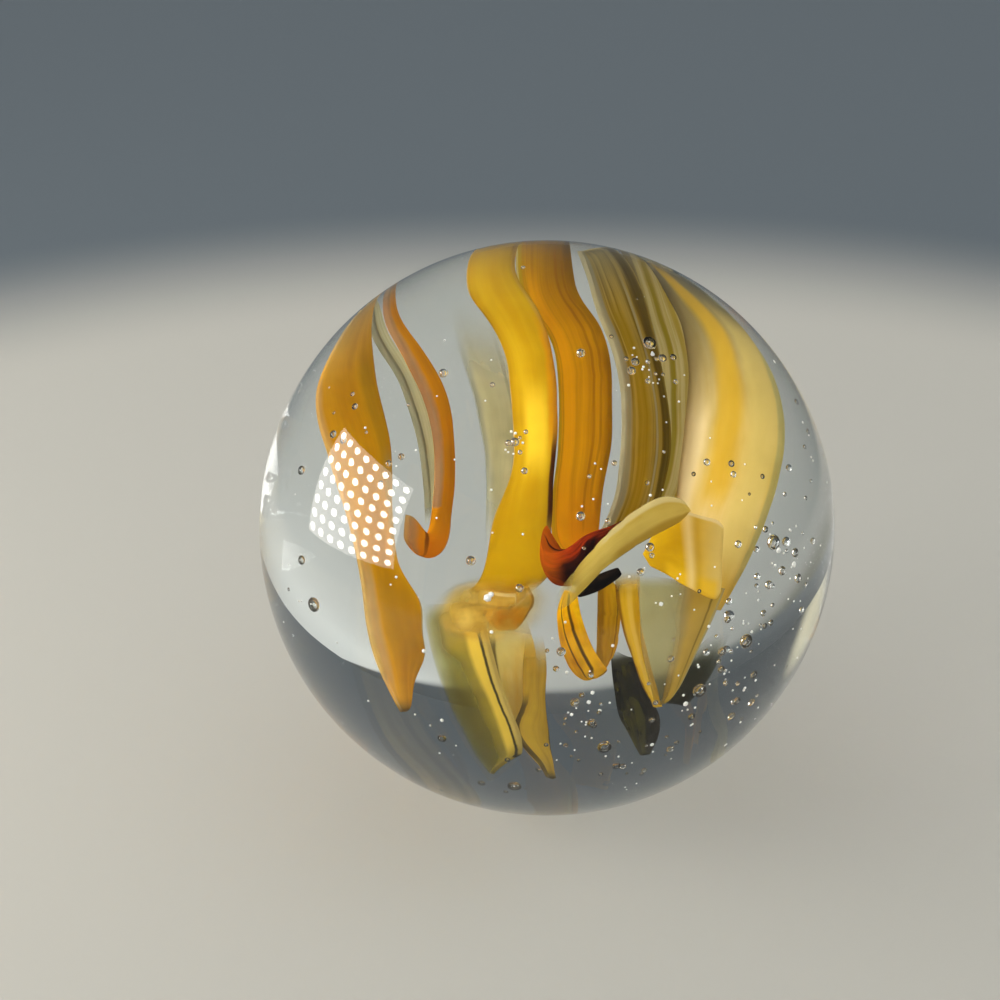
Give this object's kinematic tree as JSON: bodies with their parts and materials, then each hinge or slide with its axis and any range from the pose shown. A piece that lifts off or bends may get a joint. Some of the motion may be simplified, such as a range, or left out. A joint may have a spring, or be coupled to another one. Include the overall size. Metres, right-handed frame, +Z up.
{
  "type": "glass marble",
  "caption": "Clear glass ball with folded ribbons and pointed fins of yellow, amber, olive and smoke glass fused inside it, and seed bubbles. A toy, a loose ball or a filler.",
  "frame": {"origin": "centre of the glass ball", "axes": "+Z up as the marble lies on a table, +Y away from the side that the picture shows, +X to that side's right"},
  "size_m": [0.016, 0.016, 0.016],
  "materials": {
    "clear_glass": "polished clear glass",
    "yellow_glass": "translucent yellow glass",
    "amber_glass": "translucent amber glass",
    "pale_glass": "translucent pale yellow glass",
    "olive_glass": "translucent olive glass",
    "smoke_glass": "smoke-grey glass",
    "red_brown_glass": "dense red-brown glass"
  },
  "bodies": {
    "root": {"clear_glass": "clear_glass", "left_yellow_ribbon": "yellow_glass", "thin_orange_ribbon": "amber_glass", "grey_thread": "smoke_glass", "smoke_ribbon": "smoke_glass", "bright_yellow_ribbon": "yellow_glass", "striped_amber_ribbon": "amber_glass", "olive_ribbon": "olive_glass", "grey_olive_ribbon": "olive_glass", "pale_yellow_ribbon": "pale_glass", "pale_film": "pale_glass", "knot": "red_brown_glass", "dark_bead": "red_brown_glass", "amber_lobe": "amber_glass", "front_strip": "pale_glass", "yellow_shield": "yellow_glass", "centre_fin_left": "yellow_glass", "centre_leaf": "pale_glass", "centre_fin_right": "yellow_glass", "amber_fold": "amber_glass", "amber_leaf": "yellow_glass", "right_fin": "pale_glass", "right_fin_leg": "yellow_glass", "dark_fin": "olive_glass", "dark_flap": "olive_glass"}
  },
  "joints": []
}
